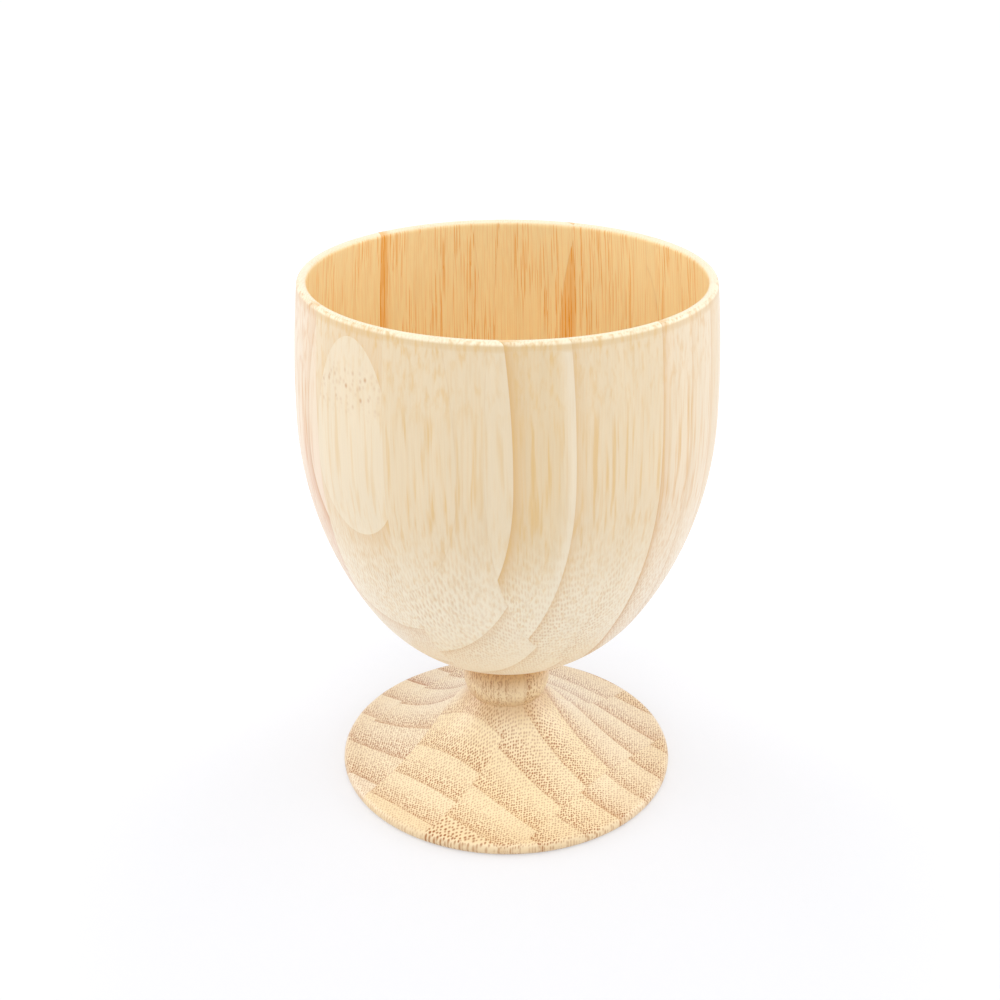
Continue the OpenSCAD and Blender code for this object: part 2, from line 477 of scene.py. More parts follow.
def part_tree(operation):
    """Keeps what lies in front of the patch's glue line, or takes it away."""
    tree, given, made = new_tree(
        "part_" + operation.lower(), "GeometryNodeTree",
        {"Turned": ("NodeSocketGeometry", None), "Patch thickness": ("NodeSocketFloat", PATCH_T),
         "Patch turn": ("NodeSocketFloat", PATCH_TURN)},
        {"Part": "NodeSocketGeometry"},
    )
    reach = cad_high.y + OVERRUN
    low = (-reach, -reach, cad_low.z - 2 * OVERRUN)
    depth = maths(tree, "ADD", given["Patch thickness"], OVERRUN - reach)
    high = combine(tree, reach, depth, cad_high.z + 2 * OVERRUN)
    box = leaning_box(tree, low, high, given["Patch turn"])
    cut = add(tree, "GeometryNodeMeshBoolean", {"operation": operation, "solver": "MANIFOLD"})
    tree.links.new(given["Turned"], cut.inputs["Mesh 2" if operation == "INTERSECT" else "Mesh 1"])
    tree.links.new(box, cut.inputs["Mesh 2"])
    geometry = add(tree, "GeometryNodeRealizeInstances", Geometry=cut.outputs["Mesh"]).outputs[0]
    feed(tree, made.inputs["Part"], geometry)
    return tree


# %% [markdown]
# The last tree saws one strip out of the block. Its turned faces are shaded smooth and its sawn
# edges stay sharp: on an edge between a sawn and a turned face the mark averages to one half, which
# is how the tree finds them. It also writes on the strip where the whole strip lay in the block,
# and the strip's own numbers, for the finish to read. Attributes travel with the mesh, so one
# material can serve all the strips.

# %% Saw the strips
SHARP = math.radians(30)
HALF_SAWN, NEAR_HALF = 0.5, 0.25


def saw_tree():
    """Cuts the block with one box, marks the sawn edges sharp and writes the strip's numbers."""
    vectors = ("Cut from", "Cut to", "Strip from", "Strip to", "Stock", "Growth")
    sockets = {"Turned": ("NodeSocketGeometry", None), "Finish": ("NodeSocketMaterial", None)}
    sockets.update({label: ("NodeSocketVector", None) for label in vectors})
    tree, given, made = new_tree("saw", "GeometryNodeTree", sockets, {"Strip": "NodeSocketGeometry"})
    box = leaning_box(tree, given["Cut from"], given["Cut to"])
    cut = add(tree, "GeometryNodeMeshBoolean", {"operation": "INTERSECT", "solver": "MANIFOLD"})
    tree.links.new(given["Turned"], cut.inputs["Mesh 2"])
    tree.links.new(box, cut.inputs["Mesh 2"])
    sawn = add(tree, "GeometryNodeInputNamedAttribute", {"data_type": "FLOAT"}, Name="sawn").outputs[0]
    at_edge = add(tree, "GeometryNodeFieldOnDomain", {"domain": "EDGE", "data_type": "FLOAT"}, Value=sawn)
    off_half = apart(tree, at_edge.outputs[0], HALF_SAWN)
    angle = add(tree, "GeometryNodeInputMeshEdgeAngle").outputs["Unsigned Angle"]
    sharp = maths(tree, "MAXIMUM", maths(tree, "LESS_THAN", off_half, NEAR_HALF),
                  maths(tree, "GREATER_THAN", angle, SHARP))
    smooth = add(tree, "GeometryNodeSetShadeSmooth", {"domain": "FACE"}, Geometry=cut.outputs["Mesh"])
    smooth = add(tree, "GeometryNodeSetShadeSmooth", {"domain": "EDGE"}, Geometry=smooth.outputs[0],
                 Selection=sharp, Shade_Smooth=False)
    geometry = add(tree, "GeometryNodeRemoveAttribute", Geometry=smooth.outputs[0], Name="sawn").outputs[0]
    for label, name in (("Strip from", "strip_from"), ("Strip to", "strip_to"),
                        ("Stock", "stock"), ("Growth", "growth")):
        geometry = add(tree, "GeometryNodeStoreNamedAttribute", {"data_type": "FLOAT_VECTOR"},
                       Geometry=geometry, Name=name, Value=given[label]).outputs[0]
    geometry = add(tree, "GeometryNodeRealizeInstances", Geometry=geometry).outputs[0]
    finished = add(tree, "GeometryNodeSetMaterial", Geometry=geometry, Material=given["Finish"])
    feed(tree, made.inputs["Strip"], finished.outputs[0])
    return tree


def block_for(name):
    """The mesh to saw the strip from, which is a part of the block at the patch."""
    operation = {PATCH: "INTERSECT", BEHIND_PATCH: "DIFFERENCE"}.get(name)
    if operation is None:
        return block.data
    piece = shape_with(link("part_of_block", block.data), part_tree(operation),
                       {"Patch thickness": PATCH_T, "Patch turn": PATCH_TURN})
    mesh = piece.data
    bpy.data.objects.remove(piece)
    return mesh


def saw_strip(name, tree, finish):
    """One strip of the finished cup, as a mesh of its own."""
    (left, right, front, back), (cut_left, cut_right, cut_front, cut_back) = all_boxes[name]
    own = character(name)
    return shape_with(link(name + "_turned", block_for(name)), tree, {
        "Cut from": (cut_left, cut_front, cad_low.z - OVERRUN),
        "Cut to": (cut_right, cut_back, cad_high.z + OVERRUN),
        "Strip from": (left / MM, front / MM, strips.index(name) + 1),
        "Strip to": (right / MM, back / MM, own["golden"]),
        "Stock": (own["pink"], own["fibre"], own["skin"]),
        "Growth": (own["lean"], own["specks"], own["dots"]),
        "Finish": finish,
    })


# %% [markdown]
# Bamboo is thousands of upright bundles of fibres in a softer ground. They stand close together
# and dark under the culm's skin, which is the front of each strip here, and far apart and pale
# towards the inside of the culm. Where the lathe cut across them, as on the foot, they show as
# dots, and where it cut along them, as on the bowl, as streaks. One pattern gives both: a flat
# pattern of cells in the plane of the strips' ends, drawn out along the grain. The group below
# makes one layer of oval bundles in offset rows, and the finish mixes three such layers across
# a strip. Each bundle has a darker core, where its pores are.

# %% Make a layer of bundles
def fade(tree, value, low, high):
    """0 below low, 1 above high and a smooth step between."""
    return add(tree, "ShaderNodeMapRange", {"interpolation_type": "SMOOTHSTEP"},
               Value=value, From_Min=low, From_Max=high).outputs[0]


def unfade(tree, value, low, high):
    """1 below low, 0 above high and a smooth step between."""
    return inverse(tree, fade(tree, value, low, high))


def number_between(tree, factor, a, b):
    """A number mixed from a and b."""
    node = add(tree, "ShaderNodeMix", {"data_type": "FLOAT"})
    for socket, value in zip((node.inputs[0], node.inputs[2], node.inputs[3]), (factor, a, b)):
        feed(tree, socket, value)
    return node.outputs[0]


def tint(tree, factor, a, b, kind="MIX"):
    """A colour mixed from a and b."""
    node = add(tree, "ShaderNodeMix", {"data_type": "RGBA", "blend_type": kind})
    for socket, value in zip((node.inputs[0], node.inputs[6], node.inputs[7]), (factor, a, b)):
        feed(tree, socket, value)
    return node.outputs[2]


SEED_U, SEED_V = 7.31, 3.17
DISORDER = 0.42
SMALLEST, SIZE_SPREAD = 0.8, 0.4
EDGE_FROM, EDGE_TO, CORE_TO = 0.7, 1.3, 0.8


def bundle_group():
    """Oval bundles in offset rows, spaced in mm, each with a size and a shade of its own."""
    sizes = ("Across", "Deep", "Radius", "Seed")
    sockets = {"Place": ("NodeSocketVector", None)}
    sockets.update({label: ("NodeSocketFloat", 1.0) for label in sizes})
    outputs = {"Mask": "NodeSocketFloat", "Core": "NodeSocketFloat", "Shade": "NodeSocketFloat"}
    tree, given, made = new_tree("bundles", "ShaderNodeTree", sockets, outputs)
    x, y, _ = split(tree, given["Place"])
    across = maths(tree, "DIVIDE", x, given["Across"])
    deep = maths(tree, "DIVIDE", y, given["Deep"])
    u = times_add(tree, given["Seed"], SEED_U, maths(tree, "ADD", across, deep))
    v = times_add(tree, given["Seed"], SEED_V, maths(tree, "SUBTRACT", across, deep))
    cells = add(tree, "ShaderNodeTexVoronoi", {"voronoi_dimensions": "2D"},
                Vector=combine(tree, u, v, 0.0), Scale=1.0, Randomness=DISORDER)
    size, shade, _ = split(tree, cells.outputs["Color"])
    radius = times(tree, given["Radius"], times_add(tree, size, SIZE_SPREAD, SMALLEST))
    away = cells.outputs["Distance"]
    mask = unfade(tree, away, times(tree, radius, EDGE_FROM), times(tree, radius, EDGE_TO))
    core = unfade(tree, away, 0.0, times(tree, radius, CORE_TO))
    for label, value in (("Mask", mask), ("Core", core), ("Shade", shade)):
        feed(tree, made.inputs[label], value)
    return tree


bundles = bundle_group()
print("nodes in a layer of bundles:", len(bundles.nodes))

# %% [markdown]
# A bundle never runs quite straight up. The next group bends the place that the pattern is read
# at, slowly along the grain, and leans it a little in each strip, so streaks drift and end where
# they leave the surface, as they do on the real wall. On the small round collar the lathe cut the
# bundles into short dashes, so there the place is shaken more, and over a shorter way.

# %% Bend the grain
SLOW_WANDER, SLOW_SCALE = 0.6, (0.05, 0.05, 0.03)
FINE_WANDER, FINE_SCALE = 0.10, (0.6, 0.6, 0.25)
SHORT_WANDER, SHORT_SCALE = 0.5, (1.2, 1.2, 1.2)
WAIST_FROM, WAIST_TO = (15.0, 17.0), (24.4, 24.9)
LEAN = 0.012


def wander(tree, place, seed, scale, reach):
    """A drift in mm that changes over the given scale in turns per mm."""
    at = vector_maths(tree, "MULTIPLY", place, scale)
    at = vector_maths(tree, "ADD", at, combine(tree, seed, seed, seed))
    noise = add(tree, "ShaderNodeTexNoise", Vector=at, Scale=1.0, Detail=1.0)
    centred = vector_maths(tree, "SUBTRACT", noise.outputs["Color"], (0.5, 0.5, 0.5))
    return scaled(tree, centred, 2 * reach)


def grain_group():
    """The place in mm, moved so that straight bundles come out bent and leaning."""
    sockets = {"Place": ("NodeSocketVector", None)}
    sockets.update({label: ("NodeSocketFloat", 0.0) for label in ("Seed", "Lean")})
    outputs = {"Place": "NodeSocketVector"}
    tree, given, made = new_tree("bent_grain", "ShaderNodeTree", sockets, outputs)
    slow = wander(tree, given["Place"], given["Seed"], SLOW_SCALE, SLOW_WANDER)
    fine = wander(tree, given["Place"], given["Seed"], FINE_SCALE, FINE_WANDER)
    height = split(tree, given["Place"])[2]
    tilt = times(tree, height, given["Lean"], LEAN)
    place = vector_maths(tree, "ADD", vector_maths(tree, "ADD", given["Place"], slow), fine)
    at_collar = times(tree, fade(tree, height, *WAIST_FROM), unfade(tree, height, *WAIST_TO))
    short = wander(tree, given["Place"], given["Seed"], SHORT_SCALE, SHORT_WANDER)
    place = vector_maths(tree, "ADD", place, scaled(tree, short, at_collar))
    place = vector_maths(tree, "ADD", place, combine(tree, tilt, 0.0, 0.0))
    feed(tree, made.inputs["Place"], place)
    return tree


bent_grain = grain_group()
print("nodes that bend the grain:", len(bent_grain.nodes))

# %% [markdown]
# The finish reads each strip's own numbers, so one material serves all the strips. Its colours
# come in sets: one for the outside, where the wood was cut along the grain and sanded pale, one
# for the inside of the bowl, a deeper golden that is partly painted light, standing for the light
# bounced round inside the bowl, and one for cut ends, which drink the lacquer and show every
# bundle. For each layer of bundles there is their spacing along and through a strip in mm, and
# their radius as a share of it.

# %% Name the colours
def dye(r, g, b):
    """A colour as it looks on screen, from 0 to 255, for a colour socket."""
    linear = [((c / 255 + 0.055) / 1.055) ** 2.4 if c > 10 else c / 255 / 12.92 for c in (r, g, b)]
    return (*linear, 1.0)


SIDE_GROUND, SIDE_FIBRE = dye(242, 227, 201), dye(228, 190, 130)
# The lower outside's ground is paler, partly painted light: the light the white ground throws up under the
# bowl.
UNDER_GROUND_LIT, UNDER_FIBRE = dye(250, 236, 209), dye(206, 158, 106)
# The inside colours are a deeper golden, partly painted light bounced round inside the bowl.
INSIDE_GROUND, INSIDE_FIBRE = dye(255, 234, 184), dye(240, 164, 44)
END_GROUND, END_FIBRE = dye(255, 234, 192), dye(168, 98, 38)
# The lip's pale cream is a painted highlight, where light catches the rim.
GOLDEN_GROUND, LIP_HIGHLIGHT = dye(229, 203, 160), dye(255, 243, 213)
SIDE_PINK, END_PINK = dye(242, 216, 193), dye(255, 242, 219)
STREAK, RED_STREAK = dye(227, 187, 120), dye(216, 152, 112)
GOLDEN_SKIN, RED_SKIN, INSIDE_SKIN = dye(217, 169, 98), dye(200, 134, 82), dye(246, 194, 120)
GLUE, KNOT, CREASE_SHADE_COLOUR = dye(206, 168, 124), dye(200, 146, 92), dye(207, 167, 102)
LAYERS = {"skin": (0.70, 0.98, 0.38), "middle": (0.80, 1.16, 0.36), "heart": (0.88, 1.28, 0.34)}
MIDDLE_STARTS, HEART_STARTS = (0.07, 0.11), (0.55, 0.60)


def own_number(tree, name):
    """The three parts of one of the vectors of numbers that a strip carries."""
    return split(tree, add(tree, "ShaderNodeAttribute", {"attribute_name": name}).outputs["Vector"])


def use_group(tree, group, **inputs):
    """A node that runs a shader node group."""
    return add(tree, "ShaderNodeGroup", {"node_tree": group}, **inputs).outputs


def bundle_layers(tree, place, across, seed):
    """The bundles' masks, with small crowded ones at the skin and large ones inside."""
    layers = {}
    for name, (wide, deep, radius) in LAYERS.items():
        layers[name] = use_group(tree, bundles, Place=place, Across=wide, Deep=deep,
                                 Radius=radius, Seed=seed)
    to_middle, to_heart = fade(tree, across, *MIDDLE_STARTS), fade(tree, across, *HEART_STARTS)
    mixed = []
    for label in ("Mask", "Core", "Shade"):
        value = number_between(tree, to_middle, layers["skin"][label], layers["middle"][label])
        mixed.append(number_between(tree, to_heart, value, layers["heart"][label]))
    return mixed


# %% [markdown]
# The same bundles look different where the lathe cut along them and where it cut across them. The
# normal of the surface tells which, together with the height, so no painted map is needed. There
# is a mask for the bowl's lower outside, where the cut begins to cross the grain, one for its
# inside, one for its lip, and one for the cut ends of the collar, the foot and the underside.

# %% Find which way the lathe cut
BOWL_Z, LIP_Z = 24.7, 101.25
LIP_BLUR, LIP_SLANT = 0.25, 0.1
CROSSING, LEVEL, INWARD = (0.04, 0.5), (0.1, 0.85), (0.15, 0.6)
LEAST_END = 0.75


def cut_masks(tree, place):
    """How far the surface is the bowl's lower outside, its inside, its lip, or cut ends."""
    normal = add(tree, "ShaderNodeNewGeometry").outputs["Normal"]
    x, y, z = split(tree, place)
    rising = split(tree, normal)[2]
    in_bowl = maths(tree, "GREATER_THAN", z, BOWL_Z)
    under = times(tree, fade(tree, times(tree, rising, -1.0), *CROSSING), in_bowl)
    level = fade(tree, maths(tree, "ABSOLUTE", rising), *LEVEL)
    end = times(tree, maths(tree, "MAXIMUM", level, LEAST_END), inverse(tree, in_bowl))
    outward = vector_maths(tree, "NORMALIZE", combine(tree, x, y, 0.0))
    facing = vector_maths(tree, "DOT_PRODUCT", normal, outward, output="Value")
    lip_at = times_add(tree, facing, LIP_SLANT, z)
    lip = fade(tree, lip_at, LIP_Z - LIP_BLUR, LIP_Z + LIP_BLUR)
    lifted = maths(tree, "MAXIMUM", rising, 0.0)
    inward = fade(tree, maths(tree, "SUBTRACT", lifted, facing), *INWARD)
    inside = times(tree, inward, in_bowl)
    return {"under": under, "inside": inside, "lip": lip, "end": end}


def pick(tree, masks, side, kind=tint, **others):
    """A value or a colour for each way of cutting, blended by the masks."""
    value = side
    for name, other in others.items():
        value = kind(tree, masks[name], value, other)
    return value


# %% [markdown]
# The sanded outside has wide golden streaks, where the sander lay along a bundle: long ones on the
# belly, short ones near the rim, and grains low down, where the wall turns under. They are soft
# patches of a noise that is stretched along the grain.

# %% Make the outside's streaks
LONG_STREAKS = {"scale": (1.25, 1.25, 0.06), "low": 0.47, "high": 0.72}
SHORT_STREAKS = {"scale": (1.30, 1.30, 0.36), "low": 0.44, "high": 0.74, "detail": 2.5}
GRAINS = {"scale": (1.80, 1.80, 0.60), "low": 0.44, "high": 0.72, "detail": 2.5}
LONG_STRENGTH, GRAIN_STRENGTH = 0.95, 0.5
SHORT_STRENGTH, MORE_AT_LIP = 0.6, 0.3
SHORT_FROM, GRAINS_BELOW, AT_LIP = (85.0, 93.0), (50.0, 78.0), (97.5, 99.5)


def stretched_noise(tree, place, scale, low, high, detail=1.5):
    """Soft patches of 1 where a noise, stretched by its scale in turns per mm, is high."""
    at = vector_maths(tree, "MULTIPLY", place, scale)
    noise = add(tree, "ShaderNodeTexNoise", Vector=at, Scale=1.0, Detail=detail).outputs["Fac"]
    return fade(tree, noise, low, high)


def wall_streaks(tree, place):
    """The golden streaks of the outside, short near the rim and shorter low down."""
    z = split(tree, place)[2]
    long = times(tree, stretched_noise(tree, place, **LONG_STREAKS), LONG_STRENGTH)
    strength = times_add(tree, fade(tree, z, *AT_LIP), MORE_AT_LIP, SHORT_STRENGTH)
    short = times(tree, stretched_noise(tree, place, **SHORT_STREAKS), strength)
    grains = times(tree, stretched_noise(tree, place, **GRAINS), GRAIN_STRENGTH)
    pattern = number_between(tree, fade(tree, z, *SHORT_FROM), long, short)
    return number_between(tree, unfade(tree, z, *GRAINS_BELOW), pattern, grains)


# %% [markdown]
# Inside the bowl the turning gouge opened single bundles along their length, which leaves thin
# straight lines. A stretched noise gives blobs rather than lines, so the wall is unrolled flat, a
# cell pattern is laid on it, and each cell gets one thin upright stroke.

# %% Make the lines inside the bowl
STROKES = ((0.95, 15.0, 0.12), (0.60, 9.0, 0.17))
STROKE_SIDES, STROKE_ENDS = (0.4, 1.2), (0.25, 0.55)
FAINTEST_STROKE, STROKE_SPREAD = 0.3, 0.7
STRIP_RISE = 37.0
LINE_GROUPS = {"scale": (0.30, 0.04, 1.0), "low": 0.38, "high": 0.60}
UNGROUPED, GROUPED, IN_BAND = 0.25, 0.75, 1.2


def strokes(tree, place, wide, tall, thin):
    """One stroke in each cell of a flat pattern: the cells' size in mm, and a stroke's share."""
    x, y, _ = split(tree, place)
    u, v = maths(tree, "DIVIDE", x, wide), maths(tree, "DIVIDE", y, tall)
    cells = add(tree, "ShaderNodeTexVoronoi", {"voronoi_dimensions": "2D"},
                Vector=combine(tree, u, v, 0.0), Scale=1.0, Randomness=1.0)
    at_x, at_y, _ = split(tree, cells.outputs["Position"])
    aside = apart(tree, u, at_x)
    along = apart(tree, v, at_y)
    sides = unfade(tree, aside, STROKE_SIDES[0] * thin, STROKE_SIDES[1] * thin)
    chance = split(tree, cells.outputs["Color"])[0]
    shade = times_add(tree, chance, STROKE_SPREAD, FAINTEST_STROKE)
    return times(tree, sides, unfade(tree, along, *STROKE_ENDS), shade)


def bowl_lines(tree, place, seed, band):
    """The lines inside the bowl, in loose groups, and more of them in a strip's dark band."""
    x, y, z = split(tree, place)
    round_wall = times(tree, maths(tree, "ARCTAN2", x, y), RIM_D / 2)
    flat = combine(tree, round_wall, times_add(tree, seed, STRIP_RISE, z), 0.0)
    lines = maths(tree, "MAXIMUM", *(strokes(tree, flat, *sizes) for sizes in STROKES))
    groups = times_add(tree, stretched_noise(tree, flat, **LINE_GROUPS), GROUPED, UNGROUPED)
    return times(tree, lines, times_add(tree, band, IN_BAND, groups))


# %% [markdown]
# Two marks are left. The oval patch has brown specks where a knot of the culm lay
# just under its skin: a cell pattern gives them, shown only round the knot's height. And painted
# shade darkens the creases above and below the collar and the foot's edge; at the foot's edge it
# also gives that edge part of its own golden tone.

# %% Make the knot's specks and the painted shade of the creases
KNOT_Z, KNOT_REACH = 90.5, (1.5, 5.5)
SPECK_SCALE, SPECK_SIZE = (1.15, 0.5, 0.8), 0.55
FAINTEST_SPECK, SPECK_SPREAD, FEW_DARK = 0.25, 0.80, 2.5
# Each crease: its height and the reach of its painted shade in mm, and how dark that shade is.
SHADED_CREASES = ((24.7, 7.0, 0.95), (16.0, 4.0, 0.50), (0.5, 3.5, 0.35))


def knot_marks(tree, place, specks):
    """Brown specks round the knot's height, most of them faint and a few dark."""
    off_knot = apart(tree, split(tree, place)[2], KNOT_Z)
    at = vector_maths(tree, "MULTIPLY", place, SPECK_SCALE)
    cells = add(tree, "ShaderNodeTexVoronoi", Vector=at, Scale=1.0, Randomness=1.0)
    marks = unfade(tree, cells.outputs["Distance"], 0.0, SPECK_SIZE)
    shade = maths(tree, "POWER", split(tree, cells.outputs["Color"])[0], FEW_DARK)
    shade = times_add(tree, shade, SPECK_SPREAD, FAINTEST_SPECK)
    return times(tree, marks, shade, unfade(tree, off_knot, *KNOT_REACH), specks)


def painted_crease_shade(tree, place):
    """Painted shade at each crease, given by its height, how far it reaches and how dark it is."""
    height = split(tree, place)[2]
    crease_shade = 0.0
    for crease, reach, depth in SHADED_CREASES:
        away = apart(tree, height, crease)
        crease_shade = times_add(tree, unfade(tree, away, 0.0, reach), depth, crease_shade)
    return times(tree, crease_shade, maths(tree, "LESS_THAN", height, BOWL_Z))


# %% [markdown]
# Now the strip's own numbers come in. Its place in the block is read with the block's lean taken
# out again, and from it how far a point lies from the strip's skin side. The red strips are paler
# high on the wall. The dark band of the skin side fades quickly on the sanded outside and more
# slowly on cut ends, and inside the bowl, where the gouge cut along it, it is broad and even.

# %% Read a strip's numbers
PALER_ABOVE, SKIN_LOST, PINK_LOST = (70.0, 84.0), 0.6, 0.5
PALE_BACK_FROM, PALE_BACK_GOLDEN = (0.7, 0.95), (0.62, 0.75)
BAND_FALLS, END_BAND_FALLS = -9.0, -6.5
INSIDE_BAND, INSIDE_SKINS = (0.08, 0.38), (0.65, 1.0)


def upright(tree, place):
    """The place as it was in the block before it leaned."""
    x, y, z = split(tree, place)
    risen = maths(tree, "SUBTRACT", z, LEAN_Z / MM)
    return combine(tree, times_add(tree, risen, math.tan(BLOCK_LEAN), x), y, z)


def strip_numbers(tree, place, masks):
    """The strip's place in the block and its character, by name."""
    own = {}
    own["left"], own["front"], own["seed"] = own_number(tree, "strip_from")
    own["right"], own["back"], own["golden"] = own_number(tree, "strip_to")
    own["pink"], own["fibre"], own["skin"] = own_number(tree, "stock")
    own["lean"], own["specks"], own["dots"] = own_number(tree, "growth")
    _, y, z = split(tree, place)
    high_up = fade(tree, z, *PALER_ABOVE)
    lost = times(tree, own["pink"], inverse(tree, masks["inside"]), high_up, SKIN_LOST)
    own["skin"] = times(tree, own["skin"], inverse(tree, lost))
    own["pink"] = times(tree, own["pink"], times_add(tree, high_up, -PINK_LOST, 1.0))
    own["across"] = add(tree, "ShaderNodeMapRange", Value=y, From_Min=own["front"],
                        From_Max=own["back"]).outputs[0]
    own["pale_back"] = times(tree, fade(tree, own["across"], *PALE_BACK_FROM),
                             fade(tree, own["golden"], *PALE_BACK_GOLDEN))
    return own


def skin_band(tree, own, masks, inner):
    """How far a point is in the dark band of the strip's skin side."""
    falls = number_between(tree, masks["end"], BAND_FALLS, END_BAND_FALLS)
    outside = maths(tree, "EXPONENT", times(tree, own["across"], falls))
    band = number_between(tree, inner, outside, unfade(tree, own["across"], *INSIDE_BAND))
    skin = number_between(tree, inner, own["skin"], fade(tree, own["skin"], *INSIDE_SKINS))
    return times(tree, band, skin)


# %% [markdown]
# The bundles show fully on cut ends, half on the lower outside, where they are cut at a slant, and
# faintly elsewhere. They thin out from the skin side to the inner side of a strip, and less so in a
# strip with strong fibres. The lines inside the bowl and the streaks outside join them.

# %% Show the fibres
SIDE_SHOW, UNDER_SHOW, INSIDE_SHOW, LIP_SHOW, END_SHOW = 0.20, 0.48, 0.15, 0.3, 1.0
DENSITY, COARSER, COARSE_DOTS = 1.35, 0.45, (0.8, 1.0)
THIN_OVER, THIN_AWAY, THIN_LESS = (0.05, 0.80), 0.85, 0.45
FIBRE_LEAST, FIBRE_GAIN = 0.62, 0.9
BODY_LEAST, BODY_SPREAD, CORE_GAIN = 0.45, 0.25, 0.50
INNER_LINES = 0.9
STREAK_LEAST, STREAK_GAIN = 0.1, 0.9


def shown_bundles(tree, place, own, masks):
    """How strongly the bundles show."""
    density = times_add(tree, fade(tree, own["dots"], *COARSE_DOTS), -COARSER, DENSITY)
    dense_place = scaled(tree, place, density)
    mask, core, shade = bundle_layers(tree, dense_place, own["across"], own["seed"])
    strength = number_between(tree, masks["end"], own["fibre"], own["dots"])
    most = times_add(tree, strength, -THIN_LESS, THIN_AWAY)
    thinning = times(tree, fade(tree, own["across"], *THIN_OVER), most)
    amount = times(tree, inverse(tree, thinning), times_add(tree, strength, FIBRE_GAIN, FIBRE_LEAST))
    body = times(tree, mask, times_add(tree, shade, BODY_SPREAD, BODY_LEAST))
    show = pick(tree, masks, SIDE_SHOW, number_between, under=UNDER_SHOW, inside=INSIDE_SHOW,
                lip=LIP_SHOW, end=END_SHOW)
    return times(tree, times_add(tree, core, CORE_GAIN, body), amount, show)


def inner_lines(tree, place, own, masks, inner, band):
    """How strongly the lines inside the bowl show; the lip has none."""
    lines = bowl_lines(tree, place, own["seed"], band)
    return times(tree, lines, inner, INNER_LINES, inverse(tree, masks["lip"]))


def outer_streaks(tree, place, own, masks, z):
    """How strongly the streaks of the outside show."""
    outer = maths(tree, "SUBTRACT", maths(tree, "GREATER_THAN", z, BOWL_Z), masks["inside"])
    strength = times_add(tree, own["fibre"], STREAK_GAIN, STREAK_LEAST)
    return times(tree, wall_streaks(tree, place), strength, outer, inverse(tree, own["pale_back"]))


# %% [markdown]
# The wood between the bundles is mixed from the colours above: golden on the upper wall of some
# strips and right under the lip, rosy on others, with the skin side's band over it. Fine hairs and
# slow clouds along the grain keep it from looking painted. The glue between two strips is a line
# of a tenth of a millimetre, found by how close a point lies to the strip's own borders.

# %% Mix the wood's colour
GOLDEN_RISES, UNDER_LIP = (48.0, 68.0), (99.2, 100.6)
PALE_BACK, ROSY = 0.7, 0.8
BAND_TINT, END_BAND_TINT, END_BAND_PINK = 0.85, 0.50, 0.35
HAIR_SCALE, CLOUD_SCALE = (5.0, 5.0, 0.10), (0.5, 0.5, 0.05)
HAIR_LIGHT, CLOUD_LIGHT, LEAST_LIGHT = 0.07, 0.08, 0.925
GLUE_HALF, GLUE_SIDE, GLUE_END = (0.02, 0.07), 0.12, 0.3


def wood_ground(tree, own, masks, z):
    """The wood between the bundles."""
    paler = inverse(tree, times(tree, own["pale_back"], PALE_BACK))
    golden = times(tree, own["golden"], fade(tree, z, *GOLDEN_RISES), paler)
    golden = maths(tree, "MAXIMUM", golden, fade(tree, z, *UNDER_LIP))
    side = tint(tree, golden, SIDE_GROUND, GOLDEN_GROUND)
    # On the lip the ground is a painted highlight; on the lower outside it is partly painted light from
    # below.
    ground = pick(tree, masks, side, under=UNDER_GROUND_LIT, inside=INSIDE_GROUND, lip=LIP_HIGHLIGHT,
                  end=END_GROUND)
    rosy = pick(tree, masks, SIDE_PINK, inside=INSIDE_GROUND, lip=LIP_HIGHLIGHT, end=END_PINK)
    return tint(tree, times(tree, own["pink"], ROSY), ground, rosy)


def banded(tree, ground, own, masks, inner, band):
    """The ground with the dark band of the strip's skin side over it."""
    band_dye = tint(tree, inner, tint(tree, own["pink"], GOLDEN_SKIN, RED_SKIN), INSIDE_SKIN)
    end_tint = times_add(tree, own["pink"], END_BAND_PINK, END_BAND_TINT)
    strength = number_between(tree, masks["end"], BAND_TINT, end_tint)
    return tint(tree, times(tree, band, strength), ground, band_dye)


def grain_light(tree, place):
    """A grey that makes the wood lighter and darker in fine hairs and slow clouds."""
    light = LEAST_LIGHT
    for scale, gain in ((CLOUD_SCALE, CLOUD_LIGHT), (HAIR_SCALE, HAIR_LIGHT)):
        at = vector_maths(tree, "MULTIPLY", place, scale)
        noise = add(tree, "ShaderNodeTexNoise", Vector=at, Scale=1.0, Detail=2.0).outputs["Fac"]
        light = times_add(tree, noise, gain, light)
    return combine(tree, light, light, light)


def glue_lines(tree, place, own, masks):
    """How far the glue shows along the strip's borders."""
    x, y, _ = split(tree, place)
    side_gap = maths(tree, "MINIMUM", maths(tree, "SUBTRACT", x, own["left"]),
                     maths(tree, "SUBTRACT", own["right"], x))
    pile_gap = maths(tree, "MINIMUM", maths(tree, "SUBTRACT", y, own["front"]),
                     maths(tree, "SUBTRACT", own["back"], y))
    gap = maths(tree, "ABSOLUTE", maths(tree, "MINIMUM", side_gap, pile_gap))
    strength = number_between(tree, masks["end"], GLUE_SIDE, GLUE_END)
    return times(tree, unfade(tree, gap, *GLUE_HALF), strength)


# %% [markdown]
# The material puts the steps together in the order in which the real cup got them: the wood, its
# bundles, the knot's specks, the glue and the lacquer. The lacquer is a thin satin coat, set on
# the shader's own sockets, and the bundles lie a trace deeper and duller than the wood round them.

# %% Mix the bamboo finish
ROUGH_WOOD, ROUGHER_FIBRES = 0.40, 0.12
BUMP_STRENGTH, BUMP_DEPTH = 0.2, 0.03 * MM
COAT, COAT_ROUGHNESS = 0.3, 0.25


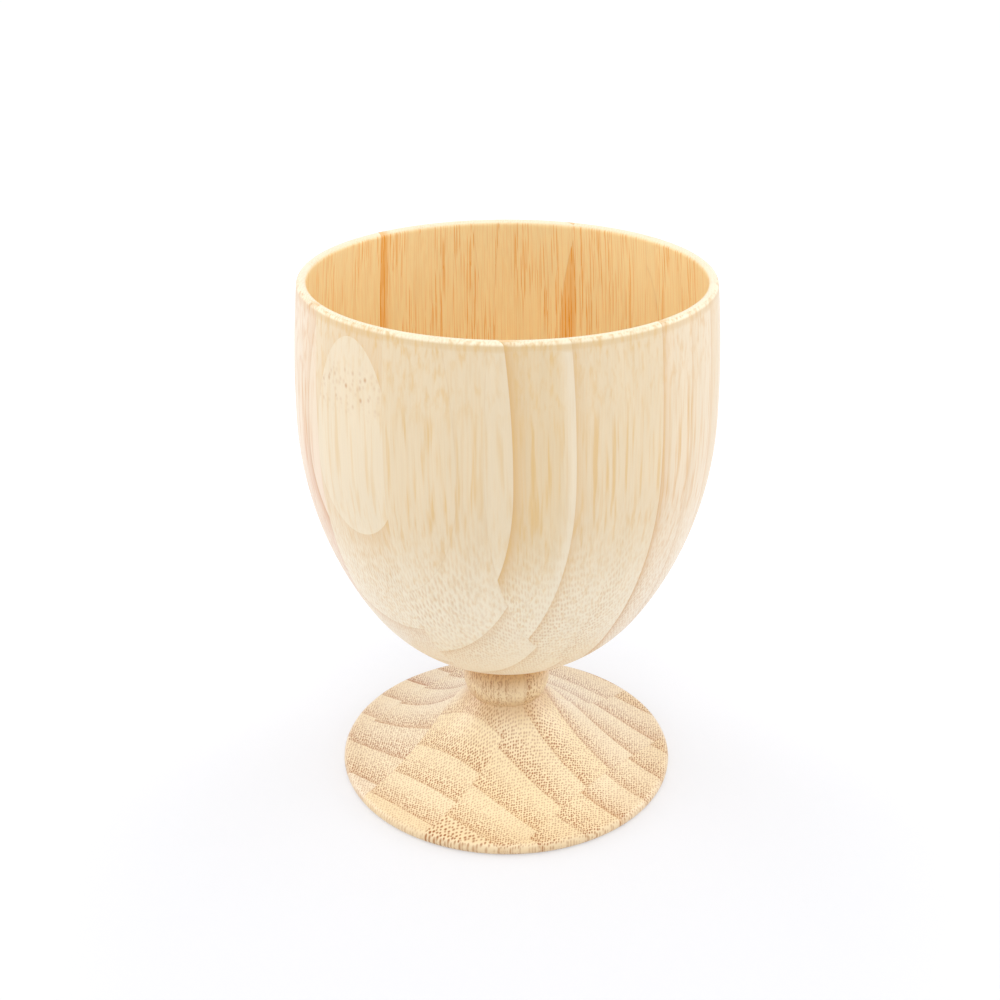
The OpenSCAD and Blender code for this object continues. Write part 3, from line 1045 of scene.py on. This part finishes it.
def bamboo_finish():
    """Sanded and lacquered bamboo."""
    material = bpy.data.materials.new("bamboo")
    material.use_nodes = True
    tree = material.node_tree
    shader = tree.nodes["Principled BSDF"]
    turned_place = scaled(tree, add(tree, "ShaderNodeTexCoord").outputs["Object"], 1 / MM)
    masks = cut_masks(tree, turned_place)
    inner = maths(tree, "GREATER_THAN", masks["inside"], 0.5)
    place = upright(tree, turned_place)
    z = split(tree, place)[2]
    own = strip_numbers(tree, place, masks)
    bent = use_group(tree, bent_grain, Place=place, Seed=own["seed"], Lean=own["lean"])["Place"]

    band = skin_band(tree, own, masks, inner)
    lines = inner_lines(tree, place, own, masks, inner, band)
    fibres = maths(tree, "MAXIMUM", shown_bundles(tree, bent, own, masks), lines)
    streaks = outer_streaks(tree, bent, own, masks, z)
    glue = glue_lines(tree, place, own, masks)
    ground = banded(tree, wood_ground(tree, own, masks, z), own, masks, inner, band)
    ground = tint(tree, streaks, ground, tint(tree, own["pink"], STREAK, RED_STREAK))
    fibre_dye = pick(tree, masks, SIDE_FIBRE, under=UNDER_FIBRE, inside=INSIDE_FIBRE,
                     lip=SIDE_FIBRE, end=END_FIBRE)
    colour = tint(tree, fibres, ground, fibre_dye)
    colour = tint(tree, knot_marks(tree, place, own["specks"]), colour, KNOT)
    colour = tint(tree, 1.0, colour, grain_light(tree, bent), "MULTIPLY")
    # Painted shade: the creases round the collar and the foot's edge are darkened in the colour.
    colour = tint(tree, painted_crease_shade(tree, place), colour, CREASE_SHADE_COLOUR, "MULTIPLY")
    colour = tint(tree, glue, colour, GLUE)
    raised = inverse(tree, maths(tree, "ADD", fibres, glue))
    bump = add(tree, "ShaderNodeBump", Strength=BUMP_STRENGTH, Distance=BUMP_DEPTH, Height=raised)

    feed(tree, shader.inputs["Base Color"], colour)
    roughness = times_add(tree, fibres, ROUGHER_FIBRES, ROUGH_WOOD)
    feed(tree, shader.inputs["Roughness"], roughness)
    feed(tree, shader.inputs["Normal"], bump.outputs["Normal"])
    shader.inputs["Coat Weight"].default_value = COAT
    shader.inputs["Coat Roughness"].default_value = COAT_ROUGHNESS
    return material


bamboo = bamboo_finish()
print("nodes in the finish:", len(bamboo.node_tree.nodes))

# %% [markdown]
# Each strip is sawn from the turned block and rides on the part's one body, and its CAD node is
# hidden. The block itself has then done its work.

# %% Make the cup
def make_cup():
    """All the strips of the finished cup."""
    tree = saw_tree()
    faces = 0
    for name in strips:
        piece = saw_strip(name, tree, bamboo)
        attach(piece, "root")
        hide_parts(name)
        faces += len(piece.data.polygons)
    bpy.data.objects.remove(block)
    print("strips made:", len(strips), "faces:", faces)


make_cup()

# %% [markdown]
# The photograph was taken in a bright white tent: soft light from everywhere, more from the
# camera's side and from above, and a white ground that throws light up under the bowl. The world
# gives the soft light, and three soft boxes the rest. The ground is a plain white plane. What the
# camera sees of it, directly or in a gloss, is darker and glows a little, and more so further off,
# so it reads as white and still takes the faint shadow of the cup. Its glow isn't counted as light
# on the cup.

# %% Light the cup
WORLD_LIGHT = 0.75
GROUND_SIZE = 6.0
GROUND_WHITE, GROUND_SEEN = (0.84, 0.86, 0.89, 1), (0.50, 0.50, 0.52, 1)
GROUND_ROUGHNESS = 0.9
GLOW_COLOUR = (0.965, 0.98, 1.0, 1)
GLOW_NEAR, GLOW_FAR = 0.45, 0.66
GLOW_STARTS, GLOW_ENDS = 0.05, 0.18
GLOW_AHEAD = 0.06
SOFT_BOXES = {
    "top_box": {"turn": 0, "rise": 58, "size": 0.55, "power": 1.7},
    "left_box": {"turn": -98, "rise": 20, "size": 0.45, "power": 1.5},
    "right_box": {"turn": 98, "rise": 20, "size": 0.45, "power": 1.4},
}
BOX_AWAY = 0.8
CUP_MIDDLE = Vector((0, 0, 50 * MM))


def seen_plainly(tree):
    """1 for what the camera sees directly or in a reflection."""
    path = add(tree, "ShaderNodeLightPath").outputs
    return maths(tree, "MAXIMUM", path["Is Camera Ray"], path["Is Glossy Ray"])


def make_world():
    """White all round, and plain white behind the cup."""
    world = bpy.data.worlds.new("white_tent")
    bpy.context.scene.world = world
    world.use_nodes = True
    tree = world.node_tree
    light = tree.nodes["Background"]
    light.inputs["Color"].default_value = (1, 1, 1, 1)
    strength = number_between(tree, seen_plainly(tree), WORLD_LIGHT, 1.0)
    feed(tree, light.inputs["Strength"], strength)


def make_soft_box(name, turn, rise, size, power):
    """A square lamp that faces the cup; turn is counted from the camera, and rise from level."""
    data = bpy.data.lights.new(name, "AREA")
    data.shape = "SQUARE"
    data.size = size
    data.energy = power
    lamp = bpy.data.objects.new(name, data)
    round_z, up = CAMERA_ROUND + math.radians(turn), math.radians(rise)
    towards = Vector((math.sin(round_z), -math.cos(round_z), 0)) * math.cos(up)
    towards.z = math.sin(up)
    lamp.location = CUP_MIDDLE + BOX_AWAY * towards
    lamp.rotation_euler = towards.to_track_quat("Z", "Y").to_euler()
    bpy.context.scene.collection.objects.link(lamp)


def make_ground():
    """The white surface that the cup stands on; its glow is weakest a little in front of the cup."""
    half = GROUND_SIZE / 2
    corners = [(-half, -half, 0), (half, -half, 0), (half, half, 0), (-half, half, 0)]
    mesh = bpy.data.meshes.new("ground")
    mesh.from_pydata(corners, [], [(0, 1, 2, 3)])
    material = bpy.data.materials.new("white_ground")
    material.use_nodes = True
    tree = material.node_tree
    shader = tree.nodes["Principled BSDF"]
    feed(tree, shader.inputs["Base Color"], tint(tree, seen_plainly(tree), GROUND_WHITE, GROUND_SEEN))
    shader.inputs["Roughness"].default_value = GROUND_ROUGHNESS
    shader.inputs["Specular IOR Level"].default_value = 0.0
    shader.inputs["Emission Color"].default_value = GLOW_COLOUR
    place = add(tree, "ShaderNodeTexCoord").outputs["Object"]
    weakest = (math.sin(CAMERA_ROUND) * GLOW_AHEAD, -math.cos(CAMERA_ROUND) * GLOW_AHEAD, 0)
    place = vector_maths(tree, "SUBTRACT", place, weakest)
    away = vector_maths(tree, "LENGTH", place, output="Value")
    glow = number_between(tree, fade(tree, away, GLOW_STARTS, GLOW_ENDS), GLOW_NEAR, GLOW_FAR)
    feed(tree, shader.inputs["Emission Strength"], times(tree, seen_plainly(tree), glow))
    mesh.materials.append(material)
    link("ground", mesh)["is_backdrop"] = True


make_world()
for box_name, box in SOFT_BOXES.items():
    make_soft_box(box_name, **box)
make_ground()
bpy.context.scene.view_settings.view_transform = "Standard"
print("lamps:", list(SOFT_BOXES))

# %% [markdown]
# The finished cup has to keep the CAD model's size, so how much its box has grown beyond the
# CAD model's box is printed.

# %% Print how much the cup has grown
low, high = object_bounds()
grown = [(h - l) - (ch - cl) for l, h, cl, ch in zip(low, high, cad_low, cad_high)]
print("grown by, in mm:", [round(value / MM, 2) for value in grown])
